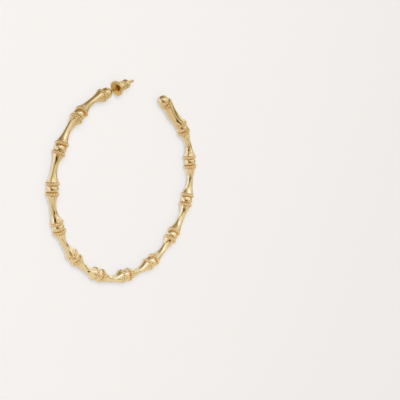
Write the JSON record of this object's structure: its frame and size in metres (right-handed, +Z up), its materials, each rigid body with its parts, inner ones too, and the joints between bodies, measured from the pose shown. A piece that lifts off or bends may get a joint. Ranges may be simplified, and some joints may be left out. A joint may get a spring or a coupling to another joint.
{
  "type": "bamboo hoop earring",
  "caption": "Large open hoop earring cast as a bamboo stem with beaded knuckles, a straight ear post at one end and a push-on clutch that slides off the post.",
  "frame": {"origin": "under the middle of the bounding box, on the surface that the earring lies on", "axes": "+Z up, square to the hoop's plane, +Y from the hoop's middle to its gap, +X roughly along the post towards its tip"},
  "size_m": [0.0598, 0.0599, 0.0046],
  "materials": {
    "cast_gold": "polished yellow gold plate",
    "clutch_gold": "polished yellow gold plate"
  },
  "bodies": {
    "hoop": {"hoop": "cast_gold"},
    "clutch": {"clutch": "clutch_gold"}
  },
  "joints": [
    {"name": "clutch_slide", "type": "slide", "parent": "hoop", "child": "clutch", "axis": [0.9025, 0.4307, 0], "range_m": [-0.0022, 0.0086]}
  ]
}
